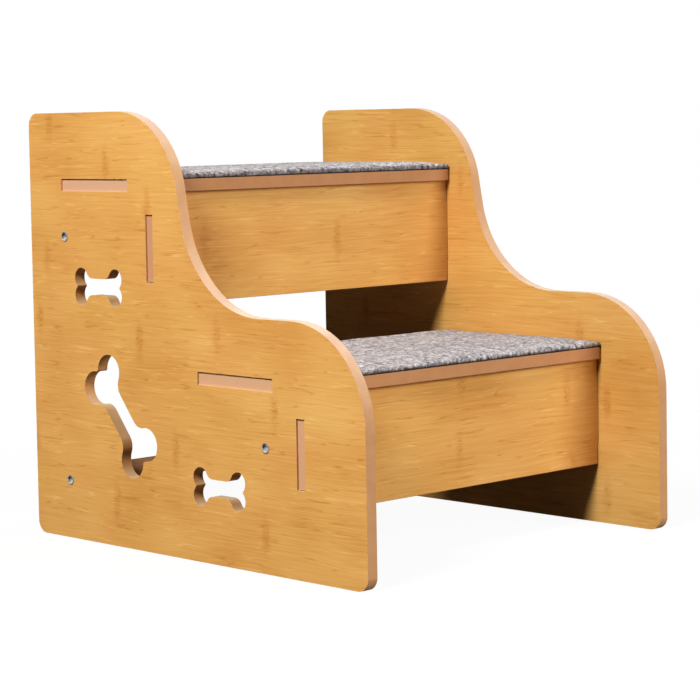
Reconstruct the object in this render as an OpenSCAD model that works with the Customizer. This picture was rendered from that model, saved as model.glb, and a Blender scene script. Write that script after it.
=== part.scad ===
// Two-step pet stairs. Two curved side panels with bone cut-outs carry two carpeted
// treads and two risers on through tenons, and three round rails hold the panels
// together with bolts. +X is to the right seen from the front, -Y to the front and +Z
// up, with the origin on the floor under the middle. The panels' outline is drawn in
// u and z, where u is the distance forward from the panels' rear edge.

/* [Height and width] */
// Overall height, from the floor to the top of the side panels
stairs_h = 400; // [370:1:440]
// Clear width between the side panels
inner_w = 373; // [320:1:430]
// Thickness of the side panels
panel_t = 11; // [9:0.5:14]

/* [Treads] */
// Depth of the upper tread
upper_tread_d = 177; // [155:1:200]
// Depth of the lower tread
lower_tread_d = 185; // [160:1:215]
// Thickness of both treads
tread_t = 11; // [9:0.5:14]
// Gap, seen from above, between the lower tread and the upper tread
tread_apart = 10; // [6:0.5:16]
// Distance from the panels' rear edge to the upper tread
rear_inset = 9; // [4:0.5:16]
// Gap between a board's shoulder and the panel beside it
shoulder_gap = 1; // [0.3:0.1:2]
// Radius of a tread's front corners, seen from above
tread_corner_r = 2.5; // [1:0.1:6]

/* [Risers] */
// Height of both risers
riser_h = 101.5; // [85:0.5:115]
// Thickness of both risers
riser_t = 9; // [6:0.5:12]
// How far a tread's front edge overhangs its riser
overhang = 5; // [1:0.5:12]

/* [Tenons] */
// Length of a tread's tenon along the tread's depth
tread_tenon_l = 97.2; // [70:0.2:120]
// Height of a riser's tenon
riser_tenon_l = 60; // [40:0.5:75]
// Gap between a tenon and the slot it passes through
slot_gap = 0.5; // [0.2:0.05:1]
// How far a tenon's end stays back from the panel's outer face
tenon_recess = 1.4; // [0.2:0.1:2]

/* [Outline of the side panels] */
// Height of the panels above the upper tread
upper_guard = 62; // [45:1:80]
// Height of the panels above the lower tread
lower_guard = 51; // [35:1:65]
// How far the panels reach in front of the lower tread
toe_reach = 69; // [55:1:95]
// Distance from the upper tread's front edge back to where the panel's flat top ends
crest_back = 54; // [40:1:75]
// Lean of the straight stretch between the two large curves, in degrees
drop_lean = 10.4; // [6:0.2:18]
// Radius of the upper, outward curve as a share of the drop in the outline
crest_share = 0.47; // [0.35:0.01:0.5]
// Radius of the lower, inward curve as a share of the drop in the outline
hollow_share = 0.57; // [0.45:0.01:0.6]
// Radius of the curve down to the front edge
toe_r = 88; // [60:1:100]
// Radius of the corners at the floor and at the upper rear
corner_r = 12; // [4:0.5:20]

/* [Bone cut-outs] */
// Distance between the lobes at the two ends of a small bone
lobe_reach = 50; // [42:0.5:60]
// Distance between the two lobes at one end
lobe_apart = 15.8; // [13:0.1:18]
// Radius of a lobe
lobe_r = 9.5; // [8:0.1:11]
// Height of the neck between the ends
neck_h = 15.4; // [12:0.1:18]
// Radius of the fillet between neck and lobe
neck_fillet = 8.5; // [6:0.5:12]
// Radius of the fillet in the notch between two lobes
notch_fillet = 1.3; // [0.8:0.1:3]
// Size of the large bone against a small one
large_bone_scale = 1.65; // [1.3:0.05:1.8]
// Tilt of the large bone, in degrees
large_bone_tilt = -50.6; // [-60:0.2:-40]
// How much lower the large bone sits in the right panel than in the left one
right_bone_drop = 13; // [0:0.5:16]

/* [Rails] */
// Diameter of the round cross rails
rail_dia = 22; // [18:0.5:28]
// Distance from the panels' rear edge to the middle of the two rear rails
rear_rail_in = 52; // [35:1:65]
// Height of the lower rear rail above the floor
low_rail_h = 55; // [40:1:65]
// Distance of the upper rear rail below the upper tread
high_rail_drop = 42.5; // [30:0.5:60]
// Distance of the front rail below the lower tread
front_rail_drop = 48.5; // [35:0.5:65]
// Distance of the front rail behind the lower tread's front edge
front_rail_back = 53.5; // [45:0.5:75]

/* [Bolts and inserts] */
// Diameter of a bolt's shank
bolt_dia = 5; // [4:0.5:5.5]
// Length of a bolt under its head
bolt_l = 25; // [22:1:30]
// Diameter of a bolt's low button head
head_dia = 9.5; // [8.5:0.1:11]
// Height of a bolt's head
head_h = 1.9; // [1.7:0.05:3.5]
// Height of the straight rim under the head's dome
head_rim = 0.5; // [0.2:0.05:0.8]
// Width across the flats of the hex socket
socket_af = 4; // [2.5:0.5:4]
// Depth of the hex socket
socket_depth = 1.5; // [1:0.1:1.6]
// Outer diameter of a threaded insert
insert_dia = 8; // [7.5:0.1:10]
// Length of a threaded insert
insert_l = 13; // [10:0.5:14]
// Gap all round a bolt in its panel hole
hole_gap = 0.25; // [0.1:0.05:0.5]
// Gap all round a bolt in its insert, and an insert in its bore
thread_gap = 0.1; // [0.05:0.05:0.2]
// How much deeper the bore in a rail is than the bolt's tip
bore_spare = 2; // [0.5:0.5:5]

/* [Pads] */
// Gap between a pad's side and the panel beside it
pad_side_gap = 2; // [1:0.5:5]
// Thickness of the non-slip backing
backing_t = 1; // [0.5:0.1:2]
// How far the backing's edges stay back from the felt's
backing_inset = 1; // [0.5:0.5:4]
// Thickness of the felt at its front edge
felt_edge_t = 4.2; // [2.5:0.1:6]
// Extra thickness of the felt at the height of its crown
felt_crown = 5.2; // [1:0.1:8]
// Radius of the felt's rounded upper edges
felt_roll_r = 1.6; // [0.8:0.1:2.2]
// Distance behind the front edge over which the crown rises
crown_run = 45; // [30:1:90]
// Share of the crown that is left at the rear edge
rear_crown_share = 0.85; // [0.3:0.05:0.95]

/* [Hidden] */
// Smoothness of round pieces
$fn = 64;
// How far a cutting shape runs past the face that it cuts
overrun = 1;
// Steps of the felt's rounded edge, and the shares of its width and depth at which its
// top is divided
ROLL_STEPS = 3;
FELT_SHARES_X = [for (i = [1 : 13]) i / 14];
FELT_SHARES_Y = [for (i = [1 : 7]) i / 8];
// How sharply the crown falls off towards the felt's two sides
CROWN_POWER = 10;

// Heights of the two levels of the outline and of the tread tops, with two equal rises
panel_h = stairs_h;
upper_top = panel_h - upper_guard;
lower_top = upper_top / 2;
shelf_h = lower_top + lower_guard;

// Places along u of the treads, and the depth of the panels
upper_rear = rear_inset;
upper_front = upper_rear + upper_tread_d;
lower_rear = upper_front + tread_apart;
lower_front = lower_rear + lower_tread_d;
panel_d = lower_front + toe_reach;

// The outline's S-curve: two arcs joined by a leaning straight stretch
drop = panel_h - shelf_h;
crest_r = crest_share * drop;
hollow_r = hollow_share * drop;
straight_l = (drop - (crest_r + hollow_r) * (1 - sin(drop_lean))) / cos(drop_lean);
crest_u = upper_front - crest_back;
hollow_u = crest_u + (crest_r + hollow_r) * cos(drop_lean) + straight_l * sin(drop_lean);
lean = [cos(drop_lean), sin(drop_lean)];
crest_centre = [crest_u, panel_h - crest_r];
hollow_centre = [hollow_u, shelf_h + hollow_r];
toe_centre = [panel_d - toe_r, shelf_h - toe_r];

// Bone cut-outs: place as shares of the panels' depth and height, tilt and size, and how
// far the panel's own drop lowers them
BONE_SHARES = [[0.224, 0.597], [0.59, 0.169], [0.287, 0.303]];
BONE_TILTS = [0, 0, large_bone_tilt];
BONE_SCALES = [1, 1, large_bone_scale];
BONE_DROP_SHARES = [0, 0, 1];

// Axes of the three rails as places in u and z
HIGH_RAIL = [rear_rail_in, upper_top - tread_t - high_rail_drop];
LOW_RAIL = [rear_rail_in, low_rail_h];
FRONT_RAIL = [lower_front - front_rail_back, lower_top - tread_t - front_rail_drop];
RAILS = [HIGH_RAIL, LOW_RAIL, FRONT_RAIL];

// Place along Y of a place along u
function y_at(u) = panel_d / 2 - u;

// Stands a drawing in u and z upright, with its thickness from x towards the left
module upright(x, thickness) {
    translate([x, panel_d / 2, 0])
        rotate([90, 0, -90])
            linear_extrude(thickness)
                children();
}

// A small bone with two lobes at each end, its notches and neck joined by fillets
module bone() {
    end = lobe_reach / 2;
    side = lobe_apart / 2;
    neck = neck_h / 2;
    neck_end = end - sqrt(pow(lobe_r + neck_fillet, 2) - pow(neck + neck_fillet - side, 2));
    notch = end + sqrt(pow(lobe_r + notch_fillet, 2) - pow(side, 2));
    difference() {
        union() {
            for (sx = [-1, 1], sy = [-1, 1])
                translate([sx * end, sy * side])
                    circle(lobe_r);
            for (sx = [-1, 1])
                polygon([
                    [0, neck], [sx * neck_end, neck], [sx * neck_end, neck + neck_fillet],
                    [sx * end, side], [sx * notch, 0], [sx * end, -side],
                    [sx * neck_end, -neck - neck_fillet], [sx * neck_end, -neck], [0, -neck]
                ]);
        }
        for (sx = [-1, 1], sy = [-1, 1])
            translate([sx * neck_end, sy * (neck + neck_fillet)])
                circle(neck_fillet);
        for (sx = [-1, 1])
            translate([sx * notch, 0])
                circle(notch_fillet);
    }
}

// Outer outline of a side panel, with tangent arcs at every curve
module panel_edge() {
    crest_end = crest_centre + crest_r * lean;
    hollow_end = hollow_centre - hollow_r * lean;
    difference() {
        union() {
            polygon([
                [corner_r, 0], [panel_d - corner_r, 0], [panel_d, corner_r],
                [panel_d, toe_centre[1]], [toe_centre[0], shelf_h],
                [hollow_u, shelf_h], hollow_end, crest_end, [crest_u, panel_h],
                [corner_r, panel_h], [0, panel_h - corner_r], [0, corner_r]
            ]);
            translate(crest_centre)
                circle(crest_r);
            translate(toe_centre)
                circle(toe_r);
            for (at = [[corner_r, corner_r], [panel_d - corner_r, corner_r],
                       [corner_r, panel_h - corner_r]])
                translate(at)
                    circle(corner_r);
        }
        translate(hollow_centre)
            circle(hollow_r);
    }
}

// Slot for a tread's tenon, which rests on the slot's lower side
module tread_slot(rear, front, top) {
    length = tread_tenon_l + 2 * slot_gap;
    translate([(rear + front - length) / 2, top - tread_t])
        square([length, tread_t + slot_gap]);
}

// Slot for the tenon of the riser under a tread
module riser_slot(front, top) {
    middle = top - tread_t - riser_h / 2;
    width = riser_t + 2 * slot_gap;
    height = riser_tenon_l + 2 * slot_gap;
    translate([front - overhang - riser_t - slot_gap, middle - height / 2])
        square([width, height]);
}

// Face of a side panel with all that is cut through it, its large bone lowered by a drop
module panel_face(drop) {
    difference() {
        panel_edge();
        for (i = [0 : len(BONE_SHARES) - 1])
            translate([BONE_SHARES[i][0] * panel_d,
                       BONE_SHARES[i][1] * panel_h - BONE_DROP_SHARES[i] * drop])
                rotate(BONE_TILTS[i])
                    scale(BONE_SCALES[i])
                        bone();
        tread_slot(upper_rear, upper_front, upper_top);
        tread_slot(lower_rear, lower_front, lower_top);
        riser_slot(upper_front, upper_top);
        riser_slot(lower_front, lower_top);
        for (rail = RAILS)
            translate(rail)
                circle(bolt_dia / 2 + hole_gap);
    }
}

// Tread seen from above, with rounded front corners and a tenon at each end
module tread_plan(depth) {
    half_w = inner_w / 2 - shoulder_gap;
    whole_w = inner_w + 2 * (panel_t - tenon_recess);
    polygon([
        [-half_w, tread_corner_r], [tread_corner_r - half_w, 0],
        [half_w - tread_corner_r, 0], [half_w, tread_corner_r], [half_w, depth], [-half_w, depth]
    ]);
    for (side = [-1, 1])
        translate([side * (half_w - tread_corner_r), tread_corner_r])
            circle(tread_corner_r);
    translate([-whole_w / 2, (depth - tread_tenon_l) / 2])
        square([whole_w, tread_tenon_l]);
}

module tread(rear, depth, top) {
    translate([0, y_at(rear + depth), top - tread_t])
        linear_extrude(tread_t)
            tread_plan(depth);
}

// Riser under a tread, with a tenon of its full thickness at each end
module riser(front, top) {
    body_w = inner_w - 2 * shoulder_gap;
    whole_w = inner_w + 2 * (panel_t - tenon_recess);
    translate([0, y_at(front - overhang), top - tread_t - riser_h]) {
        translate([-body_w / 2, 0, 0])
            cube([body_w, riser_t, riser_h]);
        translate([-whole_w / 2, 0, (riser_h - riser_tenon_l) / 2])
            cube([whole_w, riser_t, riser_tenon_l]);
    }
}

// Turns a piece drawn along Z so that it runs along X, centred on a rail's axis
module on_rail(rail) {
    translate([0, y_at(rail[0]), rail[1]])
        rotate([0, 90, 0])
            children();
}

// Round rail with a bore for a threaded insert in each end
module cross_rail(rail) {
    bore_l = bolt_l - panel_t + bore_spare;
    on_rail(rail)
        difference() {
            cylinder(h = inner_w, d = rail_dia, center = true);
            for (end = [-1, 1])
                translate([0, 0, end * (inner_w / 2 - bore_l / 2 + overrun / 2)])
                    cylinder(h = bore_l + overrun, r = insert_dia / 2 + thread_gap, center = true);
        }
}

// Bolt pointing down -Z with the underside of its button head at zero. A large sphere
// domes the head and leaves the straight rim under it.
module bolt() {
    dome_h = head_h - head_rim;
    dome_r = (pow(head_dia / 2, 2) + pow(dome_h, 2)) / (2 * dome_h);
    difference() {
        union() {
            translate([0, 0, -bolt_l])
                cylinder(h = bolt_l, d = bolt_dia);
            intersection() {
                cylinder(h = head_h, d = head_dia);
                translate([0, 0, head_h - dome_r])
                    sphere(dome_r);
            }
        }
        translate([0, 0, head_h - socket_depth])
            cylinder(h = socket_depth + overrun, r = socket_af / 2 / cos(30), $fn = 6);
    }
}

// Threaded insert with its mouth at zero, running down -Z
module insert() {
    translate([0, 0, -insert_l])
        difference() {
            cylinder(h = insert_l, d = insert_dia);
            translate([0, 0, -overrun])
                cylinder(h = insert_l + 2 * overrun, r = bolt_dia / 2 + thread_gap);
        }
}

// The same piece at all three rails, on the left for side -1 and on the right for 1
module at_rails(side, x) {
    for (rail = RAILS)
        translate([side * x, y_at(rail[0]), rail[1]])
            rotate([0, side * 90, 0])
                children();
}

// Places across a span of the felt: close steps round each edge and even ones between
function felt_stops(span, shares) = concat(
    [for (i = [0 : ROLL_STEPS]) felt_roll_r * (1 - cos(90 * i / ROLL_STEPS))],
    [for (share = shares) felt_roll_r + (span - 2 * felt_roll_r) * share],
    [for (i = [ROLL_STEPS : -1 : 0]) span - felt_roll_r * (1 - cos(90 * i / ROLL_STEPS))]
);

// How far the rounded edge has dropped at a distance in from the edge
function felt_drop(away) = away >= felt_roll_r ? 0
    : felt_roll_r - sqrt(pow(felt_roll_r, 2) - pow(felt_roll_r - away, 2));

// Height of the crown at a place across the felt and back from its front edge
function crown_at(x, back, width, depth) =
    felt_crown * (1 - pow(abs(2 * x / width - 1), CROWN_POWER))
    * sin(90 * min(1, back / crown_run))
    * (1 - (1 - rear_crown_share) * pow(back / depth, 2));

// Crowned felt with rounded upper edges on a flat underside
module felt(width, depth) {
    xs = felt_stops(width, FELT_SHARES_X);
    ys = felt_stops(depth, FELT_SHARES_Y);
    nx = len(xs);
    ny = len(ys);
    top = [for (x = xs, y = ys)
        [x, y, felt_edge_t + crown_at(x, y, width, depth)
            - felt_drop(min(x, y, width - x, depth - y))]];
    bottom = [for (x = xs, y = ys) [x, y, 0]];
    under = nx * ny;
    top_faces = [for (i = [0 : nx - 2], j = [0 : ny - 2]) let (a = i * ny + j, b = a + ny)
        each [[a, a + 1, b], [b, a + 1, b + 1]]];
    bottom_faces = [for (face = top_faces) [under + face[2], under + face[1], under + face[0]]];
    long_sides = [for (i = [0 : nx - 2], j = [0, ny - 1]) let (a = i * ny + j, b = a + ny)
        each j == 0 ? [[a, b, under + b], [a, under + b, under + a]]
                    : [[b, a, under + a], [b, under + a, under + b]]];
    short_sides = [for (j = [0 : ny - 2], i = [0, nx - 1]) let (a = i * ny + j, b = a + 1)
        each i == 0 ? [[b, a, under + a], [b, under + a, under + b]]
                    : [[a, b, under + b], [a, under + b, under + a]]];
    polyhedron(concat(top, bottom), concat(top_faces, bottom_faces, long_sides, short_sides));
}

// Felt on a tread, lying on the backing and flush with the tread's front edge
module felt_pad(front, depth, top) {
    width = inner_w - 2 * pad_side_gap;
    translate([-width / 2, y_at(front), top + backing_t])
        felt(width, depth);
}

// Thin backing between a tread and its felt
module pad_backing(front, depth, top) {
    width = inner_w - 2 * (pad_side_gap + backing_inset);
    translate([-width / 2, y_at(front) + backing_inset, top])
        cube([width, depth - 2 * backing_inset, backing_t]);
}

module side_panel_left() {
    color("burlywood")
        upright(-inner_w / 2, panel_t)
            panel_face(0);
}

module side_panel_right() {
    color("burlywood")
        upright(inner_w / 2 + panel_t, panel_t)
            panel_face(right_bone_drop);
}

module upper_tread() {
    color("tan")
        tread(upper_rear, upper_tread_d, upper_top);
}

module lower_tread() {
    color("tan")
        tread(lower_rear, lower_tread_d, lower_top);
}

module upper_riser() {
    color("burlywood")
        riser(upper_front, upper_top);
}

module lower_riser() {
    color("burlywood")
        riser(lower_front, lower_top);
}

module upper_rear_rail() {
    color("wheat")
        cross_rail(HIGH_RAIL);
}

module lower_rear_rail() {
    color("wheat")
        cross_rail(LOW_RAIL);
}

module front_rail() {
    color("wheat")
        cross_rail(FRONT_RAIL);
}

module upper_pad_backing() {
    color("dimgray")
        pad_backing(upper_front, upper_tread_d, upper_top);
}

module lower_pad_backing() {
    color("dimgray")
        pad_backing(lower_front, lower_tread_d, lower_top);
}

module upper_felt_pad() {
    color("darkgray")
        felt_pad(upper_front, upper_tread_d, upper_top);
}

module lower_felt_pad() {
    color("darkgray")
        felt_pad(lower_front, lower_tread_d, lower_top);
}

module left_bolts() {
    color("silver")
        at_rails(-1, inner_w / 2 + panel_t)
            bolt();
}

module right_bolts() {
    color("silver")
        at_rails(1, inner_w / 2 + panel_t)
            bolt();
}

module left_inserts() {
    color("gray")
        at_rails(-1, inner_w / 2)
            insert();
}

module right_inserts() {
    color("gray")
        at_rails(1, inner_w / 2)
            insert();
}

side_panel_left();
side_panel_right();
upper_tread();
lower_tread();
upper_riser();
lower_riser();
upper_rear_rail();
lower_rear_rail();
front_rail();
upper_pad_backing();
lower_pad_backing();
upper_felt_pad();
lower_felt_pad();
left_bolts();
right_bolts();
left_inserts();
right_inserts();
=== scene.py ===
"""Two-step pet stairs: finishes for the boards, rails and bolts, and felt pads on the treads."""
import logging
import math
import random
from dataclasses import dataclass, field
from enum import Enum

import bmesh
import bpy
from mathutils import Euler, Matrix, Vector, noise


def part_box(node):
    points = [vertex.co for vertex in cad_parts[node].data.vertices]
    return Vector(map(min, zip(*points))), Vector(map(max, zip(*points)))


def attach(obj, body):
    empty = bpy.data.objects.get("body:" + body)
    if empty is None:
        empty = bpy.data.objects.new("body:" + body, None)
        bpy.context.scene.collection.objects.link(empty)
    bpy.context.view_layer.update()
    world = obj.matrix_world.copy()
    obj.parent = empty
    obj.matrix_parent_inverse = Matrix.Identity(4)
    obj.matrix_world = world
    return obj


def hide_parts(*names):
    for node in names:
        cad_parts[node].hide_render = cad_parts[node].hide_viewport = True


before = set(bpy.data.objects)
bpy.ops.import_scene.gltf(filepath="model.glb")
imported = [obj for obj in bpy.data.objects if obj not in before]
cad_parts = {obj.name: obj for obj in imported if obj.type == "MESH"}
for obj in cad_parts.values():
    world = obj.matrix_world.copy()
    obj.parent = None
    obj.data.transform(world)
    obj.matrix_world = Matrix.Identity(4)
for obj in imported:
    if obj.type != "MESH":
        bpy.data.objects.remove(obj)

log = logging.getLogger("pet_stairs")

MM = 0.001
BODY = "root"

Material = bpy.types.Material
Tree = bpy.types.NodeTree
Node = bpy.types.Node
Socket = bpy.types.NodeSocket
Mesh = bmesh.types.BMesh
Pair = tuple[float, float]
Place = tuple[float, float, float]
# Red, green, blue and a full alpha in linear light: a colour, or the factors of a tint.
Colour = tuple[float, float, float, float]
WHITE: Colour = (1.0, 1.0, 1.0, 1.0)
# Places on a colour ramp and the sRGB hex colours there.
Tones = tuple[tuple[float, str], ...]

# What sets each board's finish apart, by the name of its node.
Looks = dict[str, dict[str, object]]

# Settings of a Mix node that blends two colours, and of one that tints a colour with another.
# Its inputs are 0 for the share, 2 and 3 for numbers, and 6 and 7 for colours.
BLEND = {"data_type": "RGBA"}
TINT = {"data_type": "RGBA", "blend_type": "MULTIPLY", 0: 1.0}


class Axis(Enum):
    """A direction of the stairs' frame, as the place of its number in a vector."""

    WIDTH = 0
    DEPTH = 1
    HEIGHT = 2


def srgb(colour: str) -> Colour:
    """Turns an sRGB hex colour into the linear colour that Blender works in.

    Args:
        colour: Six hex digits after a hash sign.

    Returns:
        Linear red, green, blue and a full alpha.
    """
    channels = [int(colour[i:i + 2], 16) / 255 for i in (1, 3, 5)]
    linear = [c / 12.92 if c <= 0.04045 else ((c + 0.055) / 1.055) ** 2.4 for c in channels]
    return (*linear, 1.0)


def add_node(
    tree: Tree, kind: str, settings: dict | None = None, links: dict | None = None
) -> Node:
    """Adds a node with its settings and links.

    Args:
        tree: Node tree that gets the node.
        kind: Blender's name for the node's type.
        settings: Values by property name, or by input name or number.
        links: Output sockets by the name or number of the input they feed.

    Returns:
        The new node.
    """
    node = tree.nodes.new(kind)
    for name, value in (settings or {}).items():
        if isinstance(name, str) and name in node.bl_rna.properties:
            setattr(node, name, value)
        else:
            node.inputs[name].default_value = value
    for name, socket in (links or {}).items():
        tree.links.new(socket, node.inputs[name])
    return node


def new_material(name: str) -> tuple[Material, Tree]:
    """Makes an empty material.

    Args:
        name: Name of the finish.

    Returns:
        The material and its node tree, with no nodes in it.
    """
    material = bpy.data.materials.new(name)
    material.use_nodes = True
    material.node_tree.nodes.clear()
    return material, material.node_tree


def place_in_mm(tree: Tree) -> Socket:
    """Adds the place on the piece, in millimetres of the stairs' frame.

    Args:
        tree: Material's node tree.

    Returns:
        The place, as a vector.
    """
    place = add_node(tree, "ShaderNodeTexCoord")
    return add_node(
        tree, "ShaderNodeVectorMath", {"operation": "SCALE", "Scale": 1 / MM},
        {0: place.outputs["Object"]},
    ).outputs[0]


def add_up(tree: Tree, start: float, *parts: tuple[Socket, float]) -> Socket:
    """Adds up patterns, each times its weight.

    Args:
        tree: Material's node tree.
        start: Number that the patterns are added to.
        parts: Output socket and weight of each pattern.

    Returns:
        The sum.
    """
    value = add_node(tree, "ShaderNodeValue")
    value.outputs[0].default_value = start
    total = value.outputs[0]
    for socket, weight in parts:
        total = add_node(
            tree, "ShaderNodeMath", {"operation": "MULTIPLY_ADD", 1: weight},
            {0: socket, 2: total},
        ).outputs[0]
    return total


def finish_surface(
    tree: Tree, settings: dict, links: dict, relief: tuple[Socket, float, float] | None = None
) -> None:
    """Ends a material with its relief, its shader and its output.

    Args:
        tree: Material's node tree.
        settings: Values of the shader's inputs.
        links: Output sockets by the name of the shader's input that they feed.
        relief: Pattern of the fine relief, its strength and its depth in millimetres.
    """
    if relief:
        height, strength, depth = relief
        bump = add_node(
            tree, "ShaderNodeBump", {"Strength": strength, "Distance": depth * MM},
            {"Height": height},
        )
        links = {**links, "Normal": bump.outputs[0]}
    shader = add_node(tree, "ShaderNodeBsdfPrincipled", settings, links)
    add_node(tree, "ShaderNodeOutputMaterial", links={0: shader.outputs[0]})


def fade(start: float, end: float, low: float = 0.0, high: float = 1.0) -> dict[str, float]:
    """Gives the settings of a Map Range node that goes from low at start to high at end."""
    return {"From Min": start, "From Max": end, "To Min": low, "To Max": high}


def set_stops(ramp: Node, tones: Tones) -> None:
    """Gives a colour ramp its stops.

    Args:
        ramp: Colour ramp node, new from Blender with two stops.
        tones: Its two or more tones, in order.
    """
    elements = ramp.color_ramp.elements
    while len(elements) < len(tones):
        elements.new(1.0)
    for element, (place, colour) in zip(elements, tones):
        element.position = place
        element.color = srgb(colour)


@dataclass(frozen=True)
class Marks:
    """One kind of mark in a finish, drawn by noise, with its sizes in millimetres.

    Its weight is how much it lightens the finish, or darkens it where it is below zero.
    Detail is how many finer octaves it has, and the shift gives it places of its own.
    """

    length: float
    height: float
    depth: float = 1.0
    weight: float = 0.0
    detail: float = 1.0
    shift: float = 0.0
    crispness: float = 0.6
    distortion: float = 0.0

    def pattern(self, tree: Tree, place: Socket) -> Socket:
        """Adds the noise that the marks come from.

        Args:
            tree: Material's node tree.
            place: Place on the piece, or along and across its grain, in millimetres.

        Returns:
            The noise value, about 0.5 on average.
        """
        scaled = add_node(
            tree, "ShaderNodeVectorMath",
            {"operation": "MULTIPLY_ADD",
             1: (1 / self.length, 1 / self.height, 1 / self.depth),
             2: (self.shift, self.shift, self.shift)},
            {0: place},
        )
        return add_node(
            tree, "ShaderNodeTexNoise",
            {"Scale": 1.0, "Detail": self.detail, "Roughness": self.crispness,
             "Distortion": self.distortion},
            {"Vector": scaled.outputs[0]},
        ).outputs[0]


@dataclass(frozen=True)
class BambooPrint:
    """The printed bamboo grain: its marks, in millimetres, and its tones.

    Fine streaks and thin broken lines run along the grain. Large patches shift between
    yellow and orange, and hazy knuckle marks with short dark ticks sit here and there.
    """

    tones: Tones = ((0.2, "#c88a3f"), (0.5, "#dfa458"), (0.8, "#eebb6f"))
    yellow: Colour = (1.02, 1.04, 1.0, 1.0)
    orange: Colour = (1.0, 0.955, 0.93, 1.0)
    hue: Marks = Marks(70.0, 80.0, shift=6.0)
    hue_fade: Pair = (0.35, 0.65)
    streak: Marks = Marks(60.0, 1.6, weight=0.5, detail=3.0)
    patch: Marks = Marks(110.0, 60.0, weight=0.5, shift=2.0)
    bend: Marks = Marks(110.0, 34.0, shift=7.0)
    bend_rise: float = 7.0
    ripple: Marks = Marks(30.0, 9.0, shift=1.3)
    ripple_rise: float = 1.3
    dark_line: Marks = Marks(95.0, 5.0, weight=-0.26, shift=5.0)
    dark_break: Marks = Marks(34.0, 8.0, shift=9.0)
    light_line: Marks = Marks(95.0, 5.0, weight=0.22, shift=7.0)
    light_break: Marks = Marks(34.0, 8.0, shift=11.0)
    line_width: float = 0.025
    break_fade: Pair = (0.47, 0.6)
    knuckle_gap: Pair = (150.0, 85.0)
    knuckle_size: Pair = (8.0, 24.0)
    knuckle_scatter: float = 0.8
    knuckle_rim: Marks = Marks(14.0, 9.0, weight=-0.1, detail=2.0, shift=9.0)
    haze_fade: Pair = (1.6, 0.5)
    tick: Marks = Marks(6.0, 1.7, weight=-0.24, detail=2.0, shift=13.0)
    tick_fade: Pair = (0.53, 0.63)
    tick_reach: Pair = (1.15, 0.8)

    def colour(self, tree: Tree, flat: Socket, seed: float, tone: float) -> tuple[Socket, Socket]:
        """Adds the colour of the printed facing.

        Args:
            tree: Material's node tree.
            flat: Place along and across the grain, in millimetres.
            seed: Number that puts the knuckles elsewhere on each board.
            tone: Factor of the whole print's lightness.

        Returns:
            The colour, and the fine streaks that the facing's relief follows.
        """
        bent = self._bent(tree, flat)
        streaks = self.streak.pattern(tree, bent)
        haze, ticks = self._knuckles(tree, flat, seed)
        parts = (
            (streaks, self.streak),
            (self.patch.pattern(tree, flat), self.patch),
            (haze, self.knuckle_rim),
            (ticks, self.tick),
            (self._lines(tree, flat, bent, self.dark_line, self.dark_break), self.dark_line),
            (self._lines(tree, flat, bent, self.light_line, self.light_break), self.light_line),
        )
        lightness = add_up(tree, 0.0, *((socket, marks.weight) for socket, marks in parts))
        ramp = add_node(tree, "ShaderNodeValToRGB", links={0: lightness})
        set_stops(ramp, self.tones)
        hue = add_node(
            tree, "ShaderNodeMapRange", fade(*self.hue_fade), {0: self.hue.pattern(tree, flat)}
        )
        hazed = add_node(
            tree, "ShaderNodeMath", {"operation": "SUBTRACT"}, {0: hue.outputs[0], 1: haze}
        )
        orange, yellow = (
            (*(tone * part for part in colour[:3]), 1.0) for colour in (self.orange, self.yellow)
        )
        tint = add_node(
            tree, "ShaderNodeMix", {**BLEND, 6: orange, 7: yellow}, {0: hazed.outputs[0]}
        )
        printed = add_node(tree, "ShaderNodeMix", TINT, {6: ramp.outputs[0], 7: tint.outputs[2]})
        return printed.outputs[2], streaks

    def _bent(self, tree: Tree, flat: Socket) -> Socket:
        """Bends the grain gently and ripples it, so that no streak is quite straight.

        Args:
            tree: Material's node tree.
            flat: Place along and across the grain, in millimetres.

        Returns:
            The bent place.
        """
        place = flat
        for marks, rise in ((self.bend, self.bend_rise), (self.ripple, self.ripple_rise)):
            place = add_node(
                tree, "ShaderNodeVectorMath", {"operation": "MULTIPLY_ADD", 1: (0.0, rise, 0.0)},
                {0: marks.pattern(tree, flat), 2: place},
            ).outputs[0]
        return place

    def _lines(self, tree: Tree, flat: Socket, bent: Socket, line: Marks, gap: Marks) -> Socket:
        """Adds thin broken lines along the grain.

        Args:
            tree: Material's node tree.
            flat: Place along and across the grain, in millimetres.
            bent: The same place after the grain is bent.
            line: Marks that have a line wherever their noise is at its middle.
            gap: Marks that break the lines.

        Returns:
            One in the middle of a line, falling to zero beside it and where it breaks.
        """
        away = add_node(
            tree, "ShaderNodeMath", {"operation": "SUBTRACT", 1: 0.5},
            {0: line.pattern(tree, bent)},
        )
        size = add_node(tree, "ShaderNodeMath", {"operation": "ABSOLUTE"}, {0: away.outputs[0]})
        whole = add_node(
            tree, "ShaderNodeMapRange", fade(self.line_width, 0.0), {0: size.outputs[0]}
        )
        broken = add_node(
            tree, "ShaderNodeMapRange", fade(*self.break_fade), {0: gap.pattern(tree, flat)}
        )
        return add_node(
            tree, "ShaderNodeMath", {"operation": "MULTIPLY"},
            {0: whole.outputs[0], 1: broken.outputs[0]},
        ).outputs[0]

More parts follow.
